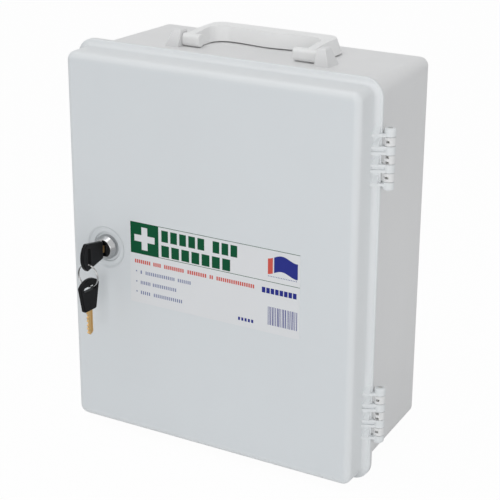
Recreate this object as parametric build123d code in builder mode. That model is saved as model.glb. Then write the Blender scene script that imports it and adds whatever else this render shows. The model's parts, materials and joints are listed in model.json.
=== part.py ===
"""First aid box: a moulded wall cabinet with a hinged door, a fold-flat handle, a cam lock and its two keys.

Sizes are in millimetres.
+X is right when the door is seen from the front, +Y points out of the back, +Z is up.
The origin is the centre of the flat back face, so the door face lies at Y = -BOX_D.
"""
import math
import os

from build123d import *

os.makedirs("parts", exist_ok=True)

# Overall box
BOX_D = 150.0            # door face to back face
BODY_W = 283.0           # walls of door and case where they meet
BODY_H = 348.0
BODY_R = 8.5             # corner radius of those walls seen from the front
LIP_OVER_X = 6.3         # how far the meeting lips stand out at the sides
LIP_OVER_Z = 6.0         # and at the top and bottom
LIP_R = 16.5
LIP_T = 2.1              # thickness of each lip
DOOR_D = 27.8            # door face to the front of its lip
DOOR_GAP = 0.4           # daylight between door lip and case lip
WALL = 2.5
BACK_T = 3.0
FACE_R = 6.0             # soft rounding round the door face
LIP_FILLET = 4.4         # hollow fillet where door wall turns into lip
LIP_EDGE_R = 1.0
BACK_EDGE_R = 3.5
CASE_R = 14.0            # corner radius of the case walls behind their lip
BACK_R = 7.5             # and at the back

# Draft of the case, measured at the back face
BACK_IN_X = 6.8          # each side
BACK_IN_TOP = 2.7
BACK_IN_BOTTOM = 5.4
FRONT_IN_BOTTOM = 2.5    # case bottom above the door bottom at the front of the case

# Hinges
HINGE_OUT = 5.5          # pin line outside the edge of the lips
HINGE_BACK = 1.9         # pin line behind the front of the case lip
HINGE_FROM_END = 65.5    # middle of each hinge from the end of the lips
HINGE_L = 52.6
HINGE_R = 4.75
HINGE_SEGMENTS = 7       # finger, knuckle, finger ... from the top
SEGMENT_GAP = 0.4
PIN_R = 2.0
RUN_FIT = 0.1            # radial clearance where a piece turns on a pin
PIN_TOP_GAP = 0.6        # pin below the top of its hinge
PIN_FLOOR = 1.2          # floor under the bore of the lowest finger
CAP_R = 2.0              # rounded ends of the barrel
RIB_T = 2.4
RIB_REACH = 5.8          # how far a finger rib starts in front of the lip
RIB_VALLEY = 1.8         # how far the finger stands back between its two ribs
RAMP_H = 7.0
PEEP_W = 3.4             # small openings that show the pin
PEEP_H = 2.1
PEEP_STEP = 4.6

# Carrying handle, drawn folded back on the case
HANDLE_X = 1.5           # middle of the handle to the right of the middle of the box
PIVOT_BACK = 42.7        # pivot line behind the front of the case
PIVOT_UP = 6.16          # pivot line above the top of the case
POST_IN_X = 66.8         # inner face of each post from the middle of the handle
POST_BASE_W = 14.0
POST_TOP_W = 8.0
POST_BASE_L = 21.0       # front to back
POST_TOP_L = 9.0
POST_BASE_FORE = 1.5     # middle of the foot of a post in front of the pivot line
POST_TOP_FORE = 1.0
POST_TOP_UP = 8.6        # top of the posts above the pivot line
POST_EDGE_R = 2.0
POST_SINK = 2.0          # how far a post is rooted in the wall
POST_SKIN = 2.5          # plastic left over the end of a handle pin
PIN_INTO_SLOPE = 2.8     # how much wider a post is at the pin than at its top
PIN_IN = 6.0             # inner end of a handle pin inside its foot
SIDE_GAP = 0.5           # handle to post
HAND_REACH = 32.0        # pivot line to the front of the grip
GRIP_D = 21.0            # front to back
GRIP_H = 12.9
GRIP_REST = 0.5          # daylight under the folded grip
GRIP_SLOPE = 4.0         # each outer side draws in this much up to the top
HAND_HALF = 52.5         # half width of the hand opening
HAND_SLOPE = 2.8         # the opening gets this much wider up to the top
SWELL = 3.4              # palm swell in the middle of the grip
SWELL_HALF = 34.0
ARM_FORE = 2.0           # the arms run on in front of the pivot line
ARM_RISE = 16.0          # the arms are full height this far behind the pivot line
FOOT_IN_LEFT = 49.5      # inner end of the left handle foot from the middle of the handle
FOOT_IN_RIGHT = 42.5
BARREL_D = 9.0           # foot depth
BARREL_H = 11.0          # foot height
FOOT_R = 3.5
FOOT_END_R = 1.0
GRIP_CORNER_R = 14.0
HAND_CORNER_R = 14.0

# Lock
LOCK_EDGE = 37.3         # middle of the lock from the side of the door
LOCK_Z = 0.0
DISH_R = 19.5
DISH_STEP = 1.3
RECESS_R = 13.8
RECESS_D = 3.0
DISH_EDGE_R = 0.8
BOSS_R = 21.0
BOSS_T = 3.6
HEAD_R = 11.2            # the head is a dome with a flat front
HEAD_RIM_R = 8.6
HEAD_CONE = 5.0
HEAD_ROUND = 2.5         # rounding where the dome meets its side
RIM_ROUND = 0.6
HEAD_OUT = 5.7           # lock head in front of the door face
BARREL_R = 8.0
BARREL_L = 25.5          # door face to the inner end of the barrel
BARREL_FIT = 0.15
PLUG_R = 5.6
FLANGE_R = 6.6
FLANGE_T = 1.2
WASHER_R = 11.6
WASHER_T = 1.0
NUT_FLATS = 20.0
NUT_T = 4.0
TAIL = 7.0               # square end of the plug
TAIL_L = 4.0
CAM_T = 2.2
CAM_W = 12.0
CAM_L = 32.0
CAM_OFFSET = 10.0        # crank of the cam
CAM_BEND_START = 8.5
CAM_BEND_END = 15.0
SCREW_R = 2.0
SCREW_HEAD_R = 4.2
SCREW_HEAD_T = 2.6

# Keys
KEY_L = 53.2
BLADE_L = 23.2
BLADE_W = 6.4
BLADE_T = 2.0
SHANK_L = 12.0           # part of the blade inside the bow
SHANK_W = 5.0
BITTING = (1.3, 0.7, 1.8, 1.0, 1.5)
GROOVE_W = 1.1           # long groove on both flats of the blade
GROOVE_D = 0.35
GROOVE_UP = 1.2
BOW_T = 4.0
BOW_NARROW = 16.0
BOW_WIDE = 25.5
BOW_CORNER = 3.5
BOW_BULGE = 3.0
BOW_EDGE_R = 0.8
SLOT_FROM_END = 8.6
SLOT_W = 4.4
SLOT_L = 17.2
KEY_STANDOFF = 1.6       # bow to lock face when the key is home
KEYWAY_FIT = 0.25
RING_R = 10.3
WIRE_R = 0.5
WIRE_STEP = 0.9          # the two turns of the split ring
HANG_GAP = 0.6           # ring to the edge of a bow's slot
SPARE_TURN = 4.0        # how far the spare has turned about the vertical

# Label
LABEL_W = 170.0
LABEL_H = 76.0
LABEL_GAP = 25.8         # middle of the lock to the near edge of the label
LABEL_Z = -8.0
LABEL_T = 0.3

# Shelf and inside fittings
SHELF_Z = -4.0
SHELF_T = 2.4
SHELF_SET = 13.7         # front of the shelf behind the front of the case
SHELF_RIM = 14.0
SHELF_GAP = 0.5
LEDGE_T = 2.6
LEDGE_W = 8.0
STRIKE_SET = 0.9         # strike behind the front of the case
STRIKE_T = 2.6
STRIKE_W = 10.0
STRIKE_H = 26.0
HOLE_R = 2.75
HOLE_X = 95.0
HOLE_Z = 125.0
PAD_R = 9.0
PAD_T = 2.0

# Values that follow from the ones above
FACE_Y = -BOX_D
LIP_FRONT = FACE_Y + DOOR_D
DOOR_BACK = LIP_FRONT + LIP_T
CASE_FRONT = DOOR_BACK + DOOR_GAP
LIP_W = BODY_W + 2 * LIP_OVER_X
LIP_H = BODY_H + 2 * LIP_OVER_Z
INNER_FACE_Y = FACE_Y + WALL
HINGE_X = LIP_W / 2 + HINGE_OUT
HINGE_Y = CASE_FRONT + HINGE_BACK
HINGE_Z = LIP_H / 2 - HINGE_FROM_END
LOCK_X = -BODY_W / 2 + LOCK_EDGE
LABEL_X = LOCK_X + LABEL_GAP + LABEL_W / 2
SHELF_FRONT = CASE_FRONT + SHELF_SET
STRIKE_Y = CASE_FRONT + STRIKE_SET
BARREL_END = FACE_Y + BARREL_L
PITCH = HINGE_L / HINGE_SEGMENTS
HEAD_FRONT = FACE_Y - HEAD_OUT
RECESS_Y = FACE_Y + RECESS_D
BOSS_BACK = INNER_FACE_Y + BOSS_T
CAM_Y = BARREL_END + 0.5
TAIL_END = CAM_Y + CAM_T
KEY_HOME = HEAD_FRONT - KEY_STANDOFF


def facing(y, x=0.0, z=0.0):
    """A drawing plane seen from the front, at depth y."""
    return Plane(origin=(x, y, z), x_dir=(1, 0, 0), z_dir=(0, -1, 0))


def along(y):
    """How far back a depth lies on the case, from 0 at its front to 1 at the back face."""
    return (y - CASE_FRONT) / -CASE_FRONT


def half_width(y):
    return BODY_W / 2 - BACK_IN_X * along(y)


def top_z(y):
    return BODY_H / 2 - BACK_IN_TOP * along(y)


def bottom_z(y):
    return -BODY_H / 2 + FRONT_IN_BOTTOM + (BACK_IN_BOTTOM - FRONT_IN_BOTTOM) * along(y)


PIVOT_Y = CASE_FRONT + PIVOT_BACK
PIVOT_Z = top_z(PIVOT_Y) + PIVOT_UP
GRIP_FRONT = PIVOT_Y + HAND_REACH
GRIP_BACK = GRIP_FRONT + GRIP_D
GRIP_LOW = top_z(PIVOT_Y) + GRIP_REST
GRIP_TOP = GRIP_LOW + GRIP_H
FOOT_BOTTOM = PIVOT_Z - BARREL_H / 2
FOOT_TOP = PIVOT_Z + BARREL_H / 2


def case_section(y, inset):
    """The rounded outline of the case at depth y, drawn inset from the outer skin."""
    high = top_z(y) - inset
    low = bottom_z(y) + inset
    corner = CASE_R + (BACK_R - CASE_R) * along(y)
    with BuildSketch(facing(y, 0, (high + low) / 2)) as outline:
        RectangleRounded(2 * (half_width(y) - inset), high - low, corner - inset)
    return outline.sketch


def turned(points, x, z, mode=Mode.ADD):
    """A piece turned about the front to back line through x, z; points are radius and depth."""
    with BuildSketch(Plane(origin=(x, 0, z))) as profile:
        with BuildLine():
            Polyline(*points, close=True)
        make_face()
    revolve(profile.sketch, axis=Axis((x, 0, z), (0, 1, 0)), mode=mode)


def tube(radius, y_from, y_to, x, z, mode=Mode.ADD):
    """A plain round bar or bore between two depths."""
    with BuildSketch(facing(y_to, x, z)) as disc:
        Circle(radius)
    extrude(disc.sketch, amount=y_to - y_from, mode=mode)


def plate(points, z_from, z_to, mode=Mode.ADD):
    """A flat shape drawn from above, between two heights."""
    with BuildSketch(Plane(origin=(0, 0, z_from))) as shape:
        with BuildLine():
            Polyline(*points, close=True)
        make_face()
    extrude(shape.sketch, amount=z_to - z_from, mode=mode)


def upright(radius, z_from, z_to, mode=Mode.ADD):
    """A round bar on the hinge line."""
    with BuildSketch(Plane(origin=(HINGE_X, HINGE_Y, z_from))) as disc:
        Circle(radius)
    extrude(disc.sketch, amount=z_to - z_from, mode=mode)


def block(x0, x1, y0, y1, z0, z1, mode=Mode.ADD):
    """A box between two corners."""
    with Locations(((x0 + x1) / 2, (y0 + y1) / 2, (z0 + z1) / 2)):
        Box(abs(x1 - x0), abs(y1 - y0), abs(z1 - z0), mode=mode)


def rib_outline(set_back):
    """A hinge rib seen from above, from the door wall to the barrel; set_back moves its front edge in."""
    return (
        (BODY_W / 2 - 1, LIP_FRONT - RIB_REACH + set_back),
        (HINGE_X - 1, HINGE_Y - HINGE_R + 0.2 + set_back),
        (HINGE_X, HINGE_Y - 2.5),
        (HINGE_X - HINGE_R + 0.7, DOOR_BACK),
        (BODY_W / 2 - 1, DOOR_BACK),
    )


def segment(centre, index):
    """Top and bottom height of one barrel segment of the hinge at this height."""
    top = centre + HINGE_L / 2 - index * PITCH
    return top - SEGMENT_GAP / 2, top - PITCH + SEGMENT_GAP / 2


# Space inside the door tray
with BuildPart() as tray_space:
    with BuildSketch(facing(DOOR_BACK)):
        RectangleRounded(BODY_W - 2 * WALL, BODY_H - 2 * WALL, BODY_R - WALL)
    extrude(amount=DOOR_BACK - INNER_FACE_Y)
    fillet(tray_space.faces().sort_by(Axis.Y)[0].edges(), FACE_R - WALL)

# Door shell with its lip, hinge fingers and lock dish
with BuildPart() as door_shell:
    with BuildSketch(facing(DOOR_BACK)):
        RectangleRounded(LIP_W, LIP_H, LIP_R)
    extrude(amount=LIP_T)
    fillet(door_shell.faces().sort_by(Axis.Y)[0].edges(), LIP_EDGE_R)
    with BuildSketch(facing(LIP_FRONT)):
        RectangleRounded(BODY_W, BODY_H, BODY_R)
    extrude(amount=DOOR_D)
    roots = door_shell.edges(Select.LAST).filter_by_position(Axis.Y, LIP_FRONT - 0.01, LIP_FRONT + 0.01)
    fillet(roots, min(LIP_FILLET, min(LIP_OVER_X, LIP_OVER_Z) - LIP_EDGE_R - 0.3))
    fillet(door_shell.faces().sort_by(Axis.Y)[0].edges(), FACE_R)
    add(tray_space.part, mode=Mode.SUBTRACT)
    # lock seat
    tube(BOSS_R, INNER_FACE_Y - 0.5, BOSS_BACK, LOCK_X, LOCK_Z)
    turned(
        (
            (0, FACE_Y - 1),
            (DISH_R + 1, FACE_Y - 1),
            (DISH_R, FACE_Y),
            (DISH_R - 1.6, FACE_Y + DISH_STEP),
            (RECESS_R, FACE_Y + DISH_STEP),
            (RECESS_R - 0.6, RECESS_Y),
            (0, RECESS_Y),
        ),
        LOCK_X,
        LOCK_Z,
        Mode.SUBTRACT,
    )
    rims = door_shell.edges(Select.LAST).filter_by(GeomType.CIRCLE)
    fillet([edge for edge in rims if edge.radius > RECESS_R - 1], DISH_EDGE_R)
    tube(BARREL_R + BARREL_FIT, FACE_Y, BOSS_BACK + 1, LOCK_X, LOCK_Z, Mode.SUBTRACT)
    # hinge fingers
    for centre in (HINGE_Z, -HINGE_Z):
        for index in range(0, HINGE_SEGMENTS, 2):
            high, low = segment(centre, index)
            ends = index in (0, HINGE_SEGMENTS - 1)
            upright(HINGE_R, low, high)
            if index == 0:
                rims = door_shell.edges().filter_by_position(Axis.Z, high - 0.01, high + 0.01)
                fillet(rims.filter_by(GeomType.CIRCLE), CAP_R)
            if index == HINGE_SEGMENTS - 1:
                rims = door_shell.edges().filter_by_position(Axis.Z, low - 0.01, low + 0.01)
                fillet(rims.filter_by(GeomType.CIRCLE), CAP_R)
            rib_lows = (low,) if ends else (low, high - RIB_T)
            if index == HINGE_SEGMENTS - 1:
                rib_lows = (high - RIB_T - 1.0,)
            for rib_low in rib_lows:
                plate(rib_outline(0), rib_low, rib_low + RIB_T)
            if not ends:
                plate(rib_outline(RIB_VALLEY), low, high)
            # ramp from the lip up to the top rib
            ramp_z = rib_lows[-1] + RIB_T
            with BuildSketch(Plane.YZ.offset(BODY_W / 2 - 0.5)):
                with BuildLine():
                    Polyline(
                        (LIP_FRONT + 0.5, ramp_z - 0.5),
                        (LIP_FRONT + 0.5, ramp_z + RAMP_H),
                        (LIP_FRONT - RIB_REACH + 1.5, ramp_z - 0.5),
                        close=True,
                    )
                make_face()
            extrude(amount=LIP_OVER_X - 0.2)
        upright(PIN_R + RUN_FIT, centre - HINGE_L / 2 + PIN_FLOOR, centre + HINGE_L / 2 + 1, Mode.SUBTRACT)
door_shell.part.label = "door_shell"
export_step(door_shell.part, "parts/door_shell.step")

# Case shell with its lip, knuckles, handle posts, shelf ledges and strike
with BuildPart() as case_shell:
    loft((case_section(CASE_FRONT, 0), case_section(0, 0)), ruled=True)
    fillet(case_shell.faces().sort_by(Axis.Y)[-1].edges(), BACK_EDGE_R)
    with BuildSketch(facing(CASE_FRONT + LIP_T)):
        RectangleRounded(LIP_W, LIP_H, LIP_R)
    extrude(amount=LIP_T)
    # knuckles
    for centre in (HINGE_Z, -HINGE_Z):
        for index in range(1, HINGE_SEGMENTS, 2):
            high, low = segment(centre, index)
            plate(
                (
                    (BODY_W / 2 - 1, CASE_FRONT),
                    (HINGE_X - HINGE_R + 0.3, CASE_FRONT),
                    (HINGE_X, HINGE_Y - 2.5),
                    (HINGE_X, HINGE_Y + HINGE_R - 0.1),
                    (HINGE_X - 2, HINGE_Y + HINGE_R),
                    (BODY_W / 2 - 1, HINGE_Y + HINGE_R + 6),
                ),
                low,
                high,
            )
            upright(HINGE_R, low, high)
    # handle posts
    for side in (-1, 1):
        with BuildSketch(Plane(origin=(0, 0, top_z(PIVOT_Y) - POST_SINK))):
            with Locations((HANDLE_X + side * (POST_IN_X + POST_BASE_W / 2), PIVOT_Y - POST_BASE_FORE)):
                Rectangle(POST_BASE_W, POST_BASE_L)
        with BuildSketch(Plane(origin=(0, 0, PIVOT_Z + POST_TOP_UP))):
            with Locations((HANDLE_X + side * (POST_IN_X + POST_TOP_W / 2), PIVOT_Y - POST_TOP_FORE)):
                Rectangle(POST_TOP_W, POST_TOP_L)
        loft(ruled=True)
        tops = case_shell.faces().group_by(Axis.Z)[-1].sort_by(Axis.X)
        fillet(tops[0 if side < 0 else -1].edges(), POST_EDGE_R)
    # inside
    loft((case_section(CASE_FRONT, WALL), case_section(-BACK_T, WALL)), ruled=True, mode=Mode.SUBTRACT)
    for x in (-HOLE_X, HOLE_X):
        for z in (-HOLE_Z, HOLE_Z):
            tube(PAD_R, -BACK_T - PAD_T, -0.5, x, z)
            tube(HOLE_R, -BACK_T - PAD_T - 1, 1, x, z, Mode.SUBTRACT)
    for side in (-1, 1):
        front = SHELF_FRONT + 4
        plate(
            (
                (side * (half_width(front) - WALL / 2), front),
                (side * (half_width(front) - WALL - LEDGE_W), front),
                (side * (half_width(-BACK_T) - WALL - LEDGE_W), -BACK_T + 0.5),
                (side * (half_width(-BACK_T) - WALL / 2), -BACK_T + 0.5),
            ),
            SHELF_Z - LEDGE_T,
            SHELF_Z,
        )
    strike_x = -half_width(STRIKE_Y) + WALL
    block(
        strike_x - WALL / 2,
        strike_x + STRIKE_W,
        STRIKE_Y,
        STRIKE_Y + STRIKE_T,
        LOCK_Z - STRIKE_H / 2,
        LOCK_Z + STRIKE_H / 2,
    )
    # bores and the small openings over the pins
    for side in (-1, 1):
        with BuildSketch(Plane.YZ.offset(HANDLE_X + side * POST_IN_X)):
            with Locations((PIVOT_Y, PIVOT_Z)):
                Circle(PIN_R)
        extrude(amount=side * (POST_TOP_W + PIN_INTO_SLOPE - POST_SKIN), mode=Mode.SUBTRACT)
    for centre in (HINGE_Z, -HINGE_Z):
        upright(PIN_R, centre - HINGE_L / 2, centre + HINGE_L / 2, Mode.SUBTRACT)
        for index in range(1, HINGE_SEGMENTS, 2):
            high, low = segment(centre, index)
            middle = (high + low) / 2
            steps = (-PEEP_STEP / 2, PEEP_STEP / 2) if index == HINGE_SEGMENTS // 2 else (0,)
            for step in steps:
                block(
                    HINGE_X - PEEP_W / 2,
                    HINGE_X + PEEP_W / 2,
                    HINGE_Y - HINGE_R - 1,
                    HINGE_Y,
                    middle + step - PEEP_H / 2,
                    middle + step + PEEP_H / 2,
                    Mode.SUBTRACT,
                )
case_shell.part.label = "case_shell"
export_step(case_shell.part, "parts/case_shell.step")

# Hinge pins
with BuildPart() as hinge_pin_upper:
    upright(PIN_R, HINGE_Z - HINGE_L / 2 + PIN_FLOOR + 0.2, HINGE_Z + HINGE_L / 2 - PIN_TOP_GAP)
hinge_pin_upper.part.label = "hinge_pin_upper"
export_step(hinge_pin_upper.part, "parts/hinge_pin_upper.step")

with BuildPart() as hinge_pin_lower:
    upright(PIN_R, -HINGE_Z - HINGE_L / 2 + PIN_FLOOR + 0.2, -HINGE_Z + HINGE_L / 2 - PIN_TOP_GAP)
hinge_pin_lower.part.label = "hinge_pin_lower"
export_step(hinge_pin_lower.part, "parts/hinge_pin_lower.step")

# Shelf that rests on the ledges
with BuildPart() as shelf:
    shelf_back = -BACK_T - SHELF_GAP
    front_half = half_width(shelf_back) - WALL - SHELF_GAP
    plate(
        (
            (-front_half, SHELF_FRONT),
            (front_half, SHELF_FRONT),
            (front_half, shelf_back),
            (-front_half, shelf_back),
        ),
        SHELF_Z,
        SHELF_Z + SHELF_T,
    )
    block(-front_half, front_half, SHELF_FRONT, SHELF_FRONT + SHELF_T, SHELF_Z, SHELF_Z + SHELF_RIM)
    fillet(shelf.faces().sort_by(Axis.Z)[-1].edges(), 0.8)
shelf.part.label = "shelf"
export_step(shelf.part, "parts/shelf.step")

# Hand space and the two feet of the handle
handle_half = POST_IN_X - SIDE_GAP


def grip_outline(z):
    """Outline of the folded handle at height z, open towards the feet; its outer sides slope."""
    draw = GRIP_SLOPE * (z - GRIP_LOW) / GRIP_H
    with BuildSketch(Plane(origin=(HANDLE_X, 0, z))) as outline:
        with BuildLine():
            Polyline(
                (-handle_half + draw, PIVOT_Y - ARM_FORE),
                (-handle_half + draw, GRIP_BACK - draw),
                (handle_half - draw, GRIP_BACK - draw),
                (handle_half - draw, PIVOT_Y - ARM_FORE),
                close=True,
            )
        make_face()
        fillet(outline.vertices().group_by(Axis.Y)[-1], GRIP_CORNER_R - draw / 2)
    return outline.sketch


def hand_outline(z):
    """Outline of the hand opening at height z, with the palm swell of the grip."""
    grow = HAND_SLOPE * (z - GRIP_LOW) / GRIP_H
    half = HAND_HALF + grow
    back = GRIP_FRONT + grow
    fore = PIVOT_Y - BARREL_D
    with BuildSketch(Plane(origin=(HANDLE_X, 0, z))) as outline:
        with BuildLine():
            Polyline(
                (-SWELL_HALF, back),
                (-half, back),
                (-half, fore),
                (half, fore),
                (half, back),
                (SWELL_HALF, back),
            )
            Spline((-SWELL_HALF, back), (0, back - SWELL), (SWELL_HALF, back), tangents=((1, 0), (1, 0)))
        make_face()
        outer = [v for v in outline.vertices().group_by(Axis.Y)[-1] if abs(v.X - HANDLE_X) > SWELL_HALF + 1]
        fillet(outer, HAND_CORNER_R)
    return outline.sketch


with BuildPart() as hand_space:
    loft((hand_outline(GRIP_LOW - 1), hand_outline(GRIP_TOP + 1)), ruled=True)

with BuildPart() as left_foot:
    block(
        HANDLE_X - handle_half,
        HANDLE_X - FOOT_IN_LEFT,
        PIVOT_Y - BARREL_D / 2,
        PIVOT_Y + BARREL_D / 2,
        FOOT_BOTTOM,
        FOOT_TOP,
    )
    fillet(left_foot.edges().filter_by(Axis.X), FOOT_R)
    fillet(left_foot.faces().sort_by(Axis.X)[-1].edges(), FOOT_END_R)

with BuildPart() as right_foot:
    block(
        HANDLE_X + FOOT_IN_RIGHT,
        HANDLE_X + handle_half,
        PIVOT_Y - BARREL_D / 2,
        PIVOT_Y + BARREL_D / 2,
        FOOT_BOTTOM,
        FOOT_TOP,
    )
    fillet(right_foot.edges().filter_by(Axis.X), FOOT_R)
    fillet(right_foot.faces().sort_by(Axis.X)[0].edges(), FOOT_END_R)

# Carrying handle, lying back on the case
with BuildPart() as handle:
    loft((grip_outline(GRIP_LOW), grip_outline(GRIP_TOP)), ruled=True)
    add(hand_space.part, mode=Mode.SUBTRACT)
    # the arms get thinner towards the feet, above and below
    with BuildSketch(Plane.YZ):
        with BuildLine():
            Polyline(
                (PIVOT_Y - BARREL_D, FOOT_TOP),
                (PIVOT_Y - ARM_FORE, FOOT_TOP),
                (PIVOT_Y + ARM_RISE, GRIP_TOP),
                (PIVOT_Y + ARM_RISE, GRIP_TOP + 5),
                (PIVOT_Y - BARREL_D, GRIP_TOP + 5),
                close=True,
            )
        make_face()
        with BuildLine():
            Polyline(
                (PIVOT_Y - BARREL_D, GRIP_LOW - 1),
                (PIVOT_Y + BARREL_D / 2, GRIP_LOW - 1),
                (PIVOT_Y + BARREL_D / 2, FOOT_BOTTOM),
                (PIVOT_Y - BARREL_D, FOOT_BOTTOM),
                close=True,
            )
        make_face()
    extrude(amount=handle_half + HANDLE_X + 5, both=True, mode=Mode.SUBTRACT)
    add((left_foot.part, right_foot.part))
    for side, foot_in in ((-1, FOOT_IN_LEFT), (1, FOOT_IN_RIGHT)):
        with BuildSketch(Plane.YZ.offset(HANDLE_X + side * (foot_in + PIN_IN - 0.5))):
            with Locations((PIVOT_Y, PIVOT_Z)):
                Circle(PIN_R + RUN_FIT)
        extrude(amount=side * handle_half, mode=Mode.SUBTRACT)
handle.part.label = "handle"
export_step(handle.part, "parts/handle.step")

# Handle pins
for side, foot_in, name in ((-1, FOOT_IN_LEFT, "handle_pin_left"), (1, FOOT_IN_RIGHT, "handle_pin_right")):
    with BuildPart() as handle_pin:
        with BuildSketch(Plane.YZ.offset(HANDLE_X + side * (foot_in + PIN_IN))):
            with Locations((PIVOT_Y, PIVOT_Z)):
                Circle(PIN_R)
        extrude(amount=side * (POST_IN_X + POST_TOP_W + PIN_INTO_SLOPE - POST_SKIN - foot_in - PIN_IN))
    handle_pin.part.label = name
    export_step(handle_pin.part, "parts/" + name + ".step")

# Front label
with BuildPart() as front_label:
    with BuildSketch(facing(FACE_Y, LABEL_X, LABEL_Z)):
        RectangleRounded(LABEL_W, LABEL_H, 1.0)
    extrude(amount=LABEL_T)
front_label.part.label = "front_label"
export_step(front_label.part, "parts/front_label.step")

# Lock barrel with its round head
with BuildPart() as lock_barrel:
    turned(
        (
            (PLUG_R + RUN_FIT, BARREL_END),
            (PLUG_R + RUN_FIT, HEAD_FRONT + FLANGE_T + 0.2),
            (FLANGE_R + RUN_FIT, HEAD_FRONT + FLANGE_T + 0.2),
            (FLANGE_R + RUN_FIT, HEAD_FRONT),
            (HEAD_RIM_R, HEAD_FRONT),
            (HEAD_R, HEAD_FRONT + HEAD_CONE),
            (HEAD_R, RECESS_Y),
            (BARREL_R, RECESS_Y),
            (BARREL_R, BARREL_END),
        ),
        LOCK_X,
        LOCK_Z,
    )
    shoulder = lock_barrel.edges().filter_by(GeomType.CIRCLE)
    shoulder = shoulder.filter_by_position(Axis.Y, HEAD_FRONT + 0.01, HEAD_FRONT + HEAD_CONE + 0.01)
    fillet([edge for edge in shoulder if edge.radius > HEAD_R - 0.01], HEAD_ROUND)
    rim = lock_barrel.edges().filter_by(GeomType.CIRCLE)
    fillet([edge for edge in rim if abs(edge.radius - HEAD_RIM_R) < 0.01], RIM_ROUND)
lock_barrel.part.label = "lock_barrel"
export_step(lock_barrel.part, "parts/lock_barrel.step")

# Washer and nut that hold the barrel in the door
with BuildPart() as lock_washer:
    tube(WASHER_R, BOSS_BACK, BOSS_BACK + WASHER_T, LOCK_X, LOCK_Z)
    tube(BARREL_R, BOSS_BACK, BOSS_BACK + WASHER_T, LOCK_X, LOCK_Z, Mode.SUBTRACT)
lock_washer.part.label = "lock_washer"
export_step(lock_washer.part, "parts/lock_washer.step")

with BuildPart() as lock_nut:
    with BuildSketch(facing(BOSS_BACK + WASHER_T + NUT_T, LOCK_X, LOCK_Z)):
        RegularPolygon(NUT_FLATS / 2, 6, major_radius=False)
        Circle(BARREL_R, mode=Mode.SUBTRACT)
    extrude(amount=NUT_T)
lock_nut.part.label = "lock_nut"
export_step(lock_nut.part, "parts/lock_nut.step")

# Plug that turns in the barrel
with BuildPart() as lock_plug:
    turned(
        (
            (0, HEAD_FRONT),
            (FLANGE_R, HEAD_FRONT),
            (FLANGE_R, HEAD_FRONT + FLANGE_T),
            (PLUG_R, HEAD_FRONT + FLANGE_T),
            (PLUG_R, CAM_Y),
            (0, CAM_Y),
        ),
        LOCK_X,
        LOCK_Z,
    )
    block(
        LOCK_X - TAIL / 2,
        LOCK_X + TAIL / 2,
        CAM_Y - 0.5,
        TAIL_END,
        LOCK_Z - TAIL / 2,
        LOCK_Z + TAIL / 2,
    )
    block(
        LOCK_X - BLADE_T / 2 - KEYWAY_FIT,
        LOCK_X + BLADE_T / 2 + KEYWAY_FIT,
        HEAD_FRONT - 1,
        KEY_HOME + BLADE_L + 1,
        LOCK_Z - BLADE_W / 2 - KEYWAY_FIT,
        LOCK_Z + BLADE_W / 2 + KEYWAY_FIT,
        Mode.SUBTRACT,
    )
    tube(SCREW_R, CAM_Y - 3, TAIL_END, LOCK_X, LOCK_Z, Mode.SUBTRACT)
lock_plug.part.label = "lock_plug"
export_step(lock_plug.part, "parts/lock_plug.step")

# Cranked cam, hanging straight down while the door is unlocked
with BuildPart() as lock_cam:
    with BuildSketch(Plane.YZ.offset(LOCK_X)):
        with BuildLine():
            Polyline(
                (CAM_Y, LOCK_Z + CAM_W / 2),
                (CAM_Y + CAM_T, LOCK_Z + CAM_W / 2),
                (CAM_Y + CAM_T, LOCK_Z - CAM_BEND_START),
                (CAM_Y + CAM_T + CAM_OFFSET, LOCK_Z - CAM_BEND_END),
                (CAM_Y + CAM_T + CAM_OFFSET, LOCK_Z - CAM_L),
                (CAM_Y + CAM_OFFSET, LOCK_Z - CAM_L),
                (CAM_Y + CAM_OFFSET, LOCK_Z - CAM_BEND_END - 0.6),
                (CAM_Y, LOCK_Z - CAM_BEND_START - 0.6),
                close=True,
            )
        make_face()
    extrude(amount=CAM_W / 2, both=True)
    with BuildSketch(facing(CAM_Y + CAM_OFFSET + CAM_T + 1, LOCK_X, LOCK_Z)):
        Circle(CAM_L)
    extrude(amount=CAM_OFFSET + CAM_T + 2, mode=Mode.INTERSECT)
    block(
        LOCK_X - TAIL / 2,
        LOCK_X + TAIL / 2,
        CAM_Y - 1,
        CAM_Y + CAM_T + 1,
        LOCK_Z - TAIL / 2,
        LOCK_Z + TAIL / 2,
        Mode.SUBTRACT,
    )
lock_cam.part.label = "lock_cam"
export_step(lock_cam.part, "parts/lock_cam.step")

# Washer and screw that hold the cam
with BuildPart() as cam_washer:
    tube(SCREW_HEAD_R + 2.0, TAIL_END, TAIL_END + 0.8, LOCK_X, LOCK_Z)
    tube(SCREW_R, TAIL_END, TAIL_END + 0.8, LOCK_X, LOCK_Z, Mode.SUBTRACT)
cam_washer.part.label = "cam_washer"
export_step(cam_washer.part, "parts/cam_washer.step")

with BuildPart() as cam_screw:
    tube(SCREW_R, CAM_Y - 3, TAIL_END + 0.8, LOCK_X, LOCK_Z)
    tube(SCREW_HEAD_R, TAIL_END + 0.8, TAIL_END + 0.8 + SCREW_HEAD_T, LOCK_X, LOCK_Z)
    fillet(cam_screw.faces().sort_by(Axis.Y)[-1].edges(), 1.0)
    block(
        LOCK_X - SCREW_HEAD_R,
        LOCK_X + SCREW_HEAD_R,
        TAIL_END + 0.8 + SCREW_HEAD_T - 1.0,
        TAIL_END + 0.8 + SCREW_HEAD_T + 1,
        LOCK_Z - 0.5,
        LOCK_Z + 0.5,
        Mode.SUBTRACT,
    )
cam_screw.part.label = "cam_screw"
export_step(cam_screw.part, "parts/cam_screw.step")


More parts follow.
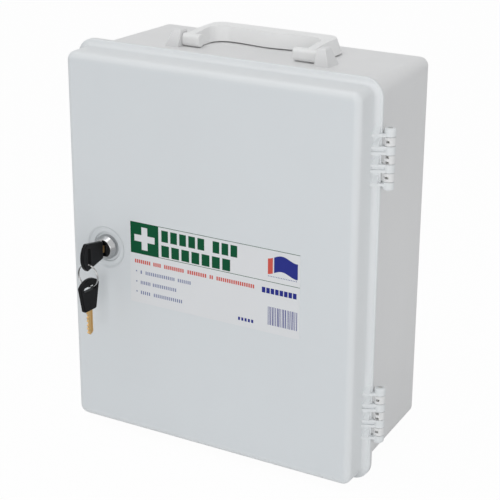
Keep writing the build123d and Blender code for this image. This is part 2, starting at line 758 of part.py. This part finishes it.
def draw_blade(plane):
    """Key blade on a plane whose origin is the bow's far end and whose X runs to the tip."""
    start = KEY_L - BLADE_L
    with BuildSketch(plane) as outline:
        with Locations((start + BLADE_L / 2, 0)):
            Rectangle(BLADE_L, BLADE_W)
        with Locations((start - SHANK_L / 2, 0)):
            Rectangle(SHANK_L, SHANK_W)
        step = (BLADE_L - 5) / len(BITTING)
        for number, depth in enumerate(BITTING):
            at = start + 3 + step * (number + 0.5)
            with BuildLine():
                Polyline(
                    (at - step / 2, -BLADE_W / 2 - 0.1),
                    (at - 0.6, -BLADE_W / 2 + depth),
                    (at + 0.6, -BLADE_W / 2 + depth),
                    (at + step / 2, -BLADE_W / 2 - 0.1),
                    close=True,
                )
            make_face(mode=Mode.SUBTRACT)
        for side in (-1, 1):
            with BuildLine():
                Polyline(
                    (KEY_L + 0.1, side * 0.9),
                    (KEY_L + 0.1, side * (BLADE_W / 2 + 0.1)),
                    (KEY_L - 2.4, side * (BLADE_W / 2 + 0.1)),
                    close=True,
                )
            make_face(mode=Mode.SUBTRACT)
    extrude(outline.sketch, amount=BLADE_T / 2, both=True)
    for side in (-1, 1):
        with BuildSketch(plane.offset(side * (BLADE_T / 2 - GROOVE_D))) as groove:
            with Locations((start + BLADE_L / 2 + 1, GROOVE_UP)):
                Rectangle(BLADE_L, GROOVE_W)
        extrude(groove.sketch, amount=side * 2 * GROOVE_D, mode=Mode.SUBTRACT)


def draw_bow(plane):
    """Moulded key bow on the same plane, with its long ring slot and the pocket for the shank."""
    start = KEY_L - BLADE_L
    with BuildSketch(plane) as outline:
        with BuildLine():
            Polyline(
                (start, -BOW_NARROW / 2),
                (BOW_BULGE + 3, -BOW_WIDE / 2),
                (BOW_BULGE, -BOW_WIDE / 2 + 3),
            )
            ThreePointArc(
                (BOW_BULGE, -BOW_WIDE / 2 + 3),
                (0, 0),
                (BOW_BULGE, BOW_WIDE / 2 - 3),
            )
            Polyline(
                (BOW_BULGE, BOW_WIDE / 2 - 3),
                (BOW_BULGE + 3, BOW_WIDE / 2),
                (start, BOW_NARROW / 2),
                (start, -BOW_NARROW / 2),
            )
        make_face()
        fillet(outline.vertices(), 1.8)
        with Locations((SLOT_FROM_END, 0)):
            SlotOverall(SLOT_L, SLOT_W, rotation=90, mode=Mode.SUBTRACT)
    bow = extrude(outline.sketch, amount=BOW_T / 2, both=True)
    flats = bow.faces().sort_by(SortBy.AREA)[-2:]
    fillet([edge for flat in flats for edge in flat.outer_wire().edges()], BOW_EDGE_R)
    with BuildSketch(plane) as pocket:
        with Locations((start - SHANK_L / 2, 0)):
            Rectangle(SHANK_L, SHANK_W)
    extrude(pocket.sketch, amount=BLADE_T / 2, both=True, mode=Mode.SUBTRACT)


# Key in the lock: its far end points away from the door
key_plane = Plane(origin=(LOCK_X, KEY_HOME + BLADE_L - KEY_L, LOCK_Z), x_dir=(0, 1, 0), z_dir=(1, 0, 0))

with BuildPart() as key_blade:
    draw_blade(key_plane)
key_blade.part.label = "key_blade"
export_step(key_blade.part, "parts/key_blade.step")

with BuildPart() as key_bow:
    draw_bow(key_plane)
key_bow.part.label = "key_bow"
export_step(key_bow.part, "parts/key_bow.step")

# Split ring hanging in the slot of the bow
ring_y = KEY_HOME + BLADE_L - KEY_L + SLOT_FROM_END
ring_z = LOCK_Z - SLOT_L / 2 + WIRE_R + HANG_GAP - RING_R

with BuildPart() as key_ring:
    with BuildSketch(Plane(origin=(LOCK_X, 0, ring_z))):
        for step in (-0.5, 0.5):
            with Locations((RING_R, ring_y + step * WIRE_STEP)):
                Circle(WIRE_R)
    revolve(axis=Axis((LOCK_X, 0, ring_z), (0, 1, 0)))
key_ring.part.label = "key_ring"
export_step(key_ring.part, "parts/key_ring.step")

# Spare key hanging from the ring with its blade down
spare_top = ring_z - RING_R + WIRE_R + HANG_GAP - SLOT_W / 2 + SLOT_FROM_END
turn = math.radians(SPARE_TURN)
spare_plane = Plane(
    origin=(LOCK_X, ring_y, spare_top),
    x_dir=(0, 0, -1),
    z_dir=(math.cos(turn), -math.sin(turn), 0),
)

with BuildPart() as spare_key_blade:
    draw_blade(spare_plane)
spare_key_blade.part.label = "spare_key_blade"
export_step(spare_key_blade.part, "parts/spare_key_blade.step")

with BuildPart() as spare_key_bow:
    draw_bow(spare_plane)
spare_key_bow.part.label = "spare_key_bow"
export_step(spare_key_bow.part, "parts/spare_key_bow.step")
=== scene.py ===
"""First aid box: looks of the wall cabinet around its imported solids.

Metres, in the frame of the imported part: +X right seen from the front, +Y out of the back, +Z up.
"""
import json
import math

import bpy
from mathutils import Matrix, Vector


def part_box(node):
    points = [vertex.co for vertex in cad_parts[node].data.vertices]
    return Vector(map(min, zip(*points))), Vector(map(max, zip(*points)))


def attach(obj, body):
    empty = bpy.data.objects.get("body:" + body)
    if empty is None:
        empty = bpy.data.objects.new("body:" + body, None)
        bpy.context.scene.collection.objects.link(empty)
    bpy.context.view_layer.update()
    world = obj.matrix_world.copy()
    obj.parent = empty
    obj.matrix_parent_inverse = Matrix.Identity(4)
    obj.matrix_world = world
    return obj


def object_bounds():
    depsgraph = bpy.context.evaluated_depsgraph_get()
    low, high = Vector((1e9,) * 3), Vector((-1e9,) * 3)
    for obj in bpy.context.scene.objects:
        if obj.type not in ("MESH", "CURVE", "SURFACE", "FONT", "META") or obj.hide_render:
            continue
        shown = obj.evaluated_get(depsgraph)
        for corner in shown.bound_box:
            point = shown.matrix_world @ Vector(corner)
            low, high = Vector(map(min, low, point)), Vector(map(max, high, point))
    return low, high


MM = 0.001

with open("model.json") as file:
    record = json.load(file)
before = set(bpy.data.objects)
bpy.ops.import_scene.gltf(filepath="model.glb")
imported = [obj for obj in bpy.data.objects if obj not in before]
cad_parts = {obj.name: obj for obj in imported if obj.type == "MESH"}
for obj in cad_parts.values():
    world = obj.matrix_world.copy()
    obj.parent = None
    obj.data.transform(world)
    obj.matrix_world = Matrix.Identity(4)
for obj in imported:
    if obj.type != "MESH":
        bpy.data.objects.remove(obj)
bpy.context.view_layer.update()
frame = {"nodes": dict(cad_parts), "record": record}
nodes = frame["nodes"]
scene = bpy.context.scene


# Materials
MOULDING_IOR = 1.49
SHADE_SPREAD = 0.985         # how dark the darkest spot of a moulding is against its shade

# scales of the noises, in cells per metre
SHADE_SCALE = 9.0
SHEEN_SCALE = 60.0
GRAIN_SCALE = 1600.0
MARK_SCALE = 400.0
KEY_GRAIN_SCALE = 900.0
FILM_SCALE = 40.0

# octaves of the noises
SOFT = 2.0
FINE = 3.0

# the part of its range that a noise value mostly stays in
NOISE_LOW = 0.3
NOISE_HIGH = 0.7

# colour sockets of the mix node, whose other kinds have sockets of the same names
MIX_FIRST = 6
MIX_SECOND = 7
MIX_RESULT = 2


def new_material(name, colour, roughness, metallic=0.0):
    """A plain Principled material; returns it with its node tree and shader."""
    material = bpy.data.materials.new(name)
    material.use_nodes = True
    tree = material.node_tree
    shader = tree.nodes["Principled BSDF"]
    shader.inputs["Base Color"].default_value = (*colour, 1.0)
    shader.inputs["Roughness"].default_value = roughness
    shader.inputs["Metallic"].default_value = metallic
    return material, tree, shader


def noise(tree, scale, detail, stretch=(1.0, 1.0, 1.0)):
    """Noise in the object's coordinates; a stretch below 1 draws its cells out along that axis."""
    where = tree.nodes.new("ShaderNodeTexCoord")
    mapping = tree.nodes.new("ShaderNodeMapping")
    mapping.inputs["Scale"].default_value = stretch
    grain = tree.nodes.new("ShaderNodeTexNoise")
    grain.inputs["Scale"].default_value = scale
    grain.inputs["Detail"].default_value = detail
    tree.links.new(where.outputs["Object"], mapping.inputs["Vector"])
    tree.links.new(mapping.outputs["Vector"], grain.inputs["Vector"])
    return grain.outputs["Fac"]


def remap(tree, value, low, high):
    """Spreads a noise value over low to high."""
    node = tree.nodes.new("ShaderNodeMapRange")
    node.inputs["From Min"].default_value = NOISE_LOW
    node.inputs["From Max"].default_value = NOISE_HIGH
    node.inputs["To Min"].default_value = low
    node.inputs["To Max"].default_value = high
    tree.links.new(value, node.inputs["Value"])
    return node.outputs["Result"]


def tint(tree, value, shade):
    """A colour that wanders between a shade and one a little darker."""
    ramp = tree.nodes.new("ShaderNodeValToRGB")
    dark = tuple(SHADE_SPREAD * channel for channel in shade)
    ramp.color_ramp.elements[0].position = NOISE_LOW
    ramp.color_ramp.elements[0].color = (*dark, 1.0)
    ramp.color_ramp.elements[1].position = NOISE_HIGH
    ramp.color_ramp.elements[1].color = (*shade, 1.0)
    tree.links.new(value, ramp.inputs["Fac"])
    return ramp.outputs["Color"]


def bump(tree, shader, value, depth, strength):
    """Fine surface relief, depth in metres."""
    node = tree.nodes.new("ShaderNodeBump")
    node.inputs["Strength"].default_value = strength
    node.inputs["Distance"].default_value = depth
    tree.links.new(value, node.inputs["Height"])
    tree.links.new(node.outputs["Normal"], shader.inputs["Normal"])


def zone(tree, tests):
    """1 where all the tests hold; a test is an axis and how far out on it the fade to 0 starts and ends."""
    where = tree.nodes.new("ShaderNodeTexCoord")
    split = tree.nodes.new("ShaderNodeSeparateXYZ")
    tree.links.new(where.outputs["Object"], split.inputs[0])
    total = None
    for axis, start, end in tests:
        distance = tree.nodes.new("ShaderNodeMath")
        distance.operation = "ABSOLUTE"
        tree.links.new(split.outputs[axis], distance.inputs[0])
        fade = tree.nodes.new("ShaderNodeMapRange")
        fade.interpolation_type = "SMOOTHSTEP"
        fade.inputs["From Min"].default_value = start
        fade.inputs["From Max"].default_value = end
        fade.inputs["To Min"].default_value = 1.0
        fade.inputs["To Max"].default_value = 0.0
        tree.links.new(distance.outputs[0], fade.inputs["Value"])
        if total is None:
            total = fade.outputs["Result"]
            continue
        both = tree.nodes.new("ShaderNodeMath")
        both.operation = "MULTIPLY"
        tree.links.new(total, both.inputs[0])
        tree.links.new(fade.outputs["Result"], both.inputs[1])
        total = both.outputs[0]
    return total


def moulded(name, shade, roughness, grain_depth, other=None):
    """Moulded plastic with a fine grain; other is a zone of it with a second shade, which on the door sets
    off the painted highlight on its rim.
    """
    material, tree, shader = new_material(name, shade, roughness[0])
    wander = noise(tree, SHADE_SCALE, SOFT)
    colour = tint(tree, wander, shade)
    if other:
        tests, second_shade = other
        mix = tree.nodes.new("ShaderNodeMix")
        mix.data_type = "RGBA"
        tree.links.new(zone(tree, tests), mix.inputs["Factor"])
        tree.links.new(colour, mix.inputs[MIX_FIRST])
        tree.links.new(tint(tree, wander, second_shade), mix.inputs[MIX_SECOND])
        colour = mix.outputs[MIX_RESULT]
    tree.links.new(colour, shader.inputs["Base Color"])
    sheen = noise(tree, SHEEN_SCALE, FINE)
    tree.links.new(remap(tree, sheen, *roughness), shader.inputs["Roughness"])
    bump(tree, shader, noise(tree, GRAIN_SCALE, SOFT), grain_depth, strength=0.5)
    shader.inputs["IOR"].default_value = MOULDING_IOR
    return material


# the flat of the door face is a little darker than the rest of the door, whose lip and edge rounding carry
# a painted highlight: a lighter shade that stands in for the light they catch
FACE_PANEL = [
    ("Y", 148.5 * MM, 143.0 * MM),
    ("X", 134.0 * MM, 142.0 * MM),
    ("Z", 165.0 * MM, 174.0 * MM),
]
PANEL_SHADE = (0.715, 0.745, 0.765)
# lighter shade of the lip and edge rounding: a painted highlight
RIM_SHADE_WITH_PAINTED_HIGHLIGHT = (0.79, 0.81, 0.82)

white_door = moulded(
    "door_plastic",
    RIM_SHADE_WITH_PAINTED_HIGHLIGHT,
    roughness=(0.34, 0.42),
    grain_depth=0.05 * MM,
    other=(FACE_PANEL, PANEL_SHADE),
)
white_case = moulded("case_plastic", (0.80, 0.80, 0.80), roughness=(0.42, 0.52), grain_depth=0.1 * MM)
white_handle = moulded("handle_plastic", (0.88, 0.88, 0.875), roughness=(0.3, 0.38), grain_depth=0.03 * MM)
white_shelf = moulded("shelf_plastic", (0.79, 0.80, 0.80), roughness=(0.4, 0.5), grain_depth=0.04 * MM)


def worn_metal(name, colour, roughness, stretch=(1.0, 1.0, 1.0)):
    """Metal with fine rubbing marks."""
    material, tree, shader = new_material(name, colour, roughness[0], metallic=1.0)
    marks = noise(tree, MARK_SCALE, FINE, stretch)
    tree.links.new(remap(tree, marks, *roughness), shader.inputs["Roughness"])
    return material


# the chrome is coloured darker than bare chrome: painted shade that stands in for the dark surroundings it
# reflects
chrome = worn_metal("chrome", (0.46, 0.465, 0.47), roughness=(0.10, 0.18))
steel = worn_metal("zinc_plated_steel", (0.60, 0.60, 0.58), roughness=(0.28, 0.42))
ring_steel = worn_metal("ring_steel", (0.42, 0.42, 0.42), roughness=(0.14, 0.24))
brass = worn_metal("key_brass", (0.70, 0.46, 0.20), roughness=(0.26, 0.4), stretch=(1.0, 1.0, 0.1))

key_black, key_tree, key_shader = new_material("key_plastic", (0.005, 0.005, 0.006), roughness=0.30)
key_shader.inputs["Specular IOR Level"].default_value = 0.12
key_grain = noise(key_tree, KEY_GRAIN_SCALE, SOFT)
bump(key_tree, key_shader, key_grain, depth=0.03 * MM, strength=0.3)

label_white, label_tree, label_shader = new_material("label_film", (0.745, 0.755, 0.77), roughness=0.36)
film_sheen = remap(label_tree, noise(label_tree, FILM_SCALE, FINE), low=0.32, high=0.42)
label_tree.links.new(film_sheen, label_shader.inputs["Roughness"])


def ink(name, colour):
    """Flat printing ink that hardly reflects."""
    material, _, shader = new_material(name, colour, roughness=0.4)
    shader.inputs["Specular IOR Level"].default_value = 0.15
    return material


ink_green = ink("ink_green", (0.0, 0.080, 0.030))
ink_red = ink("ink_red", (0.62, 0.10, 0.075))
ink_blue = ink("ink_blue", (0.022, 0.03, 0.24))
ink_grey = ink("ink_grey", (0.17, 0.20, 0.36))

FINISH = {
    "white_case": white_case,
    "white_door": white_door,
    "white_handle": white_handle,
    "white_shelf": white_shelf,
    "label_white": label_white,
    "lock_chrome": chrome,
    "steel_fittings": steel,
    "ring_steel": ring_steel,
    "key_brass": brass,
    "key_black": key_black,
}


def paint(obj, material):
    """Gives the object one material, in the object's own slots."""
    if not obj.data.materials:
        obj.data.materials.append(None)
    for place in obj.material_slots:
        place.link = "OBJECT"
        place.material = material


for subpart in frame["record"]["subparts"]:
    node = nodes[subpart["node"]]
    paint(node, FINISH[subpart["material_slot"]])


# Printed label. Its outlines are in millimetres, and a box of four is left, right, bottom and top.
LABEL_MIDDLE = 8.3           # X of the label's middle in the outlines; their Z is the frame's
PRINT_T = 0.04 * MM
PRINT_SINK = 0.02 * MM       # how far the ink reaches into the film

label_low, label_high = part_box("front_label")
print_shift = (label_low.x + label_high.x) / 2 - LABEL_MIDDLE * MM


def printed(name, shapes, material):
    """Flat print on the label, raised by the thickness of the ink."""
    vertices = []
    faces = []
    front = label_low.y - PRINT_T
    back = label_low.y + PRINT_SINK
    for outline in shapes:
        start = len(vertices)
        count = len(outline)
        vertices += [(x * MM + print_shift, front, z * MM) for x, z in outline]
        vertices += [(x * MM + print_shift, back, z * MM) for x, z in outline]
        faces.append([start + i for i in range(count)])
        faces.append([start + count + i for i in reversed(range(count))])
        for i in range(count):
            j = (i + 1) % count
            faces.append([start + j, start + i, start + count + i, start + count + j])
    mesh = bpy.data.meshes.new(name)
    mesh.from_pydata(vertices, [], faces)
    mesh.update()
    obj = bpy.data.objects.new(name, mesh)
    scene.collection.objects.link(obj)
    paint(obj, material)
    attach(obj, "door")


def bar(left, right, bottom, top):
    """The outline of an upright rectangle."""
    return [(left, bottom), (right, bottom), (right, top), (left, top)]


def strokes(spans, bottom, top, pitch, share):
    """Plain upright strokes, as wide as a share of their pitch, that fill each span and spell nothing."""
    shapes = []
    for start, end in spans:
        count = max(1, round((end - start) / pitch))
        step = (end - start) / count
        for i in range(count):
            left = start + i * step
            shapes.append(bar(left, left + step * share, bottom, top))
    return shapes


SQUARE = (-75.7, -46.5, 0.7, 29.9)
CROSS_ARM = 3.1              # half the width of an arm
CROSS_REACH = 10.6           # middle of the cross to the end of an arm


def crossed_square(left, right, bottom, top):
    """A square in pieces that leave a cross open in its middle."""
    middle_x = (left + right) / 2
    middle_z = (bottom + top) / 2
    pieces = [
        bar(left, middle_x - CROSS_REACH, bottom, top),
        bar(middle_x + CROSS_REACH, right, bottom, top),
    ]
    for side in (-1, 1):
        edges = sorted((middle_x + side * CROSS_ARM, middle_x + side * CROSS_REACH))
        pieces.append(bar(*edges, bottom, middle_z - CROSS_ARM))
        pieces.append(bar(*edges, middle_z + CROSS_ARM, top))
    pieces.append(bar(middle_x - CROSS_ARM, middle_x + CROSS_ARM, bottom, middle_z - CROSS_REACH))
    pieces.append(bar(middle_x - CROSS_ARM, middle_x + CROSS_ARM, middle_z + CROSS_REACH, top))
    return pieces


# green square with its cross, and thin lines that run on from its top and bottom
LINE_END = 93.0
LINE_H = 0.45
square_right, square_bottom, square_top = SQUARE[1:]
green = crossed_square(*SQUARE)
green.append(bar(square_right, LINE_END, square_top - LINE_H, square_top))
green.append(bar(square_right, LINE_END, square_bottom, square_bottom + LINE_H))

# two rows of plain blocks beside it: their spans, bottom, top, pitch and share
GREEN_ROWS = (
    ([(-43.4, 2.6), (8.6, 35.2)], 16.2, 26.8, 8.6, 0.74),
    ([(-43.6, 28.4)], 2.3, 12.9, 10.2, 0.76),
)
for row in GREEN_ROWS:
    green += strokes(*row)
printed("label_print_green", green, ink_green)

# row of red strokes
RED_SPANS = [(-71.6, -54.8), (-52.3, -43.9), (-41.0, -20.2), (-17.0, 2.7), (5.4, 9.4), (12.3, 50.2)]
red = strokes(RED_SPANS, bottom=-8.4, top=-4.9, pitch=2.1, share=0.66)

# three grey rows, each with its middle line, its spans and a dot in front
GREY_ROWS = (
    (-16.6, [(-65.9, -63.4), (-60.6, -29.6), (-27.0, -13.0)]),
    (-26.4, [(-66.0, -55.0), (-53.2, -28.0)]),
    (-36.0, [(-66.1, -55.4), (-52.4, -22.0)]),
)
GREY_HALF = 1.6
DOT = (-70.8, -69.6, -0.1, 1.1)          # its Z is counted from the middle line
grey = []
for z, spans in GREY_ROWS:
    grey += strokes(spans, z - GREY_HALF, z + GREY_HALF, pitch=2.0, share=0.5)
    grey.append(bar(DOT[0], DOT[1], z + DOT[2], z + DOT[3]))

# a small row under the pennant
grey += strokes([(62.8, 91.0)], bottom=5.6, top=6.4, pitch=1.6, share=0.5)
printed("label_print_grey", grey, ink_grey)

# plain waving pennant: a red strip, an open strip, and the rest of it blue
PENNANT = (62.6, 91.0, 9.6, 23.6)
WAVE = 2.1
WAVE_START = 0.22            # as a share of one wave
WAVE_STEPS = 24
RED_STEPS = 4
OPEN_STEPS = 1
upper = []
lower = []
for i in range(WAVE_STEPS + 1):
    x = PENNANT[0] + (PENNANT[1] - PENNANT[0]) * i / WAVE_STEPS
    lift = WAVE * math.sin(2 * math.pi * (i / WAVE_STEPS - WAVE_START))
    upper.append((x, PENNANT[3] + lift))
    lower.append((x, PENNANT[2] + lift))
blue = []
for i in range(WAVE_STEPS):
    piece = [lower[i], lower[i + 1], upper[i + 1], upper[i]]
    if i < RED_STEPS:
        red.append(piece)
    elif i >= RED_STEPS + OPEN_STEPS:
        blue.append(piece)
printed("label_print_red", red, ink_red)

# two rows of blue strokes
blue += strokes([(57.0, 91.0)], bottom=-10.0, top=-5.0, pitch=4.2, share=0.80)
blue += strokes([(33.8, 50.0)], bottom=-40.6, top=-37.6, pitch=3.3, share=0.62)

# bars of uneven width and spacing
BARS = (63.0, 91.0, -38.6, -21.8)
LAST_START = 90.6            # no bar starts beyond it
BAR_THIN = 0.38
GAP_THIN = 0.66
UNEVEN = 0.5                 # how much wider than the thinnest a bar or gap can be
at = BARS[0]
number = 0
while at < LAST_START:
    wide = BAR_THIN + UNEVEN * ((number * 5) % 4) / 3
    blue.append(bar(at, min(at + wide, BARS[1]), BARS[2], BARS[3]))
    at += wide + GAP_THIN + UNEVEN * ((number * 7) % 3) / 2
    number += 1
printed("label_print_blue", blue, ink_blue)


# Stage and light
FLOOR_SIZE = 12.0
FLOOR_WHITE_SHARE = 0.97     # the rest of what the camera sees of the floor is its shaded surface
WORLD_FILL = 0.50

floor_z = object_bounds()[0].z
bpy.ops.mesh.primitive_plane_add(size=FLOOR_SIZE, location=(0.0, 0.0, floor_z))
floor = bpy.context.object
floor.name = "floor"
floor_material, tree, shader = new_material("floor_pale", (0.86, 0.86, 0.86), roughness=0.9)
glow = tree.nodes.new("ShaderNodeEmission")
glow.inputs["Strength"].default_value = 1.0
path = tree.nodes.new("ShaderNodeLightPath")
share = tree.nodes.new("ShaderNodeMath")
share.operation = "MULTIPLY"
share.inputs[1].default_value = FLOOR_WHITE_SHARE
mix = tree.nodes.new("ShaderNodeMixShader")
tree.links.new(path.outputs["Is Camera Ray"], share.inputs[0])
tree.links.new(share.outputs[0], mix.inputs[0])
tree.links.new(shader.outputs[0], mix.inputs[1])
tree.links.new(glow.outputs[0], mix.inputs[2])
tree.links.new(mix.outputs[0], tree.nodes["Material Output"].inputs["Surface"])
paint(floor, floor_material)

# the world is white where it is seen, also in or through another surface, and a soft fill as light
world = bpy.data.worlds.new("studio")
world.use_nodes = True
scene.world = world
tree = world.node_tree
tree.nodes.clear()
output = tree.nodes.new("ShaderNodeOutputWorld")
seen = tree.nodes.new("ShaderNodeBackground")
seen.inputs["Color"].default_value = (1.0, 1.0, 1.0, 1.0)
seen.inputs["Strength"].default_value = 1.0
lit = tree.nodes.new("ShaderNodeBackground")
lit.inputs["Color"].default_value = (0.97, 0.985, 1.0, 1.0)
lit.inputs["Strength"].default_value = WORLD_FILL
path = tree.nodes.new("ShaderNodeLightPath")
camera_or_glossy = tree.nodes.new("ShaderNodeMath")
camera_or_glossy.operation = "MAXIMUM"
any_seen = tree.nodes.new("ShaderNodeMath")
any_seen.operation = "MAXIMUM"
mix = tree.nodes.new("ShaderNodeMixShader")
tree.links.new(path.outputs["Is Camera Ray"], camera_or_glossy.inputs[0])
tree.links.new(path.outputs["Is Glossy Ray"], camera_or_glossy.inputs[1])
tree.links.new(camera_or_glossy.outputs[0], any_seen.inputs[0])
tree.links.new(path.outputs["Is Transmission Ray"], any_seen.inputs[1])
tree.links.new(any_seen.outputs[0], mix.inputs[0])
tree.links.new(lit.outputs[0], mix.inputs[1])
tree.links.new(seen.outputs[0], mix.inputs[2])
tree.links.new(mix.outputs[0], output.inputs["Surface"])


def softbox(name, place, aim, size, power):
    """A square area lamp aimed at a point."""
    lamp = bpy.data.lights.new(name, "AREA")
    lamp.shape = "SQUARE"
    lamp.size = size
    lamp.energy = power
    obj = bpy.data.objects.new(name, lamp)
    scene.collection.objects.link(obj)
    obj.location = place
    obj.rotation_euler = (Vector(aim) - Vector(place)).to_track_quat("-Z", "Y").to_euler()


softbox("lamp_front", place=(0.35, -2.4, 0.15), aim=(0.0, -0.1, 0.0), size=1.0, power=11.5)
softbox("lamp_right", place=(1.9, -1.2, 0.3), aim=(0.0, -0.1, 0.0), size=1.2, power=7.0)
softbox("lamp_top", place=(-0.3, -0.5, 1.95), aim=(0.0, -0.05, 0.0), size=1.4, power=10.0)


# Camera of the photograph
CAMERA_PLACE = (0.61835, -1.16072, 0.46799)
AZIMUTH = math.radians(29.633)
ELEVATION = math.radians(20.831)
ROLL = math.radians(0.2886)
LENS = 106.62
SENSOR = 36.0
CLIP_START = 0.01

camera_data = bpy.data.cameras.new("camera")
camera_data.lens = LENS
camera_data.sensor_width = SENSOR
camera_data.clip_start = CLIP_START
camera = bpy.data.objects.new("camera", camera_data)
scene.collection.objects.link(camera)
forward = Vector((
    -math.sin(AZIMUTH) * math.cos(ELEVATION),
    math.cos(AZIMUTH) * math.cos(ELEVATION),
    -math.sin(ELEVATION),
))

# the camera's own axes, turned by ROLL about its line of sight
level = Vector((math.cos(AZIMUTH), math.sin(AZIMUTH), 0.0))
upward = level.cross(forward)
right = math.cos(ROLL) * level + math.sin(ROLL) * upward
up = math.cos(ROLL) * upward - math.sin(ROLL) * level
turn = Matrix((right, up, -forward)).transposed().to_4x4()
camera.matrix_world = Matrix.Translation(Vector(CAMERA_PLACE)) @ turn
scene.camera = camera

scene.view_settings.view_transform = "Standard"
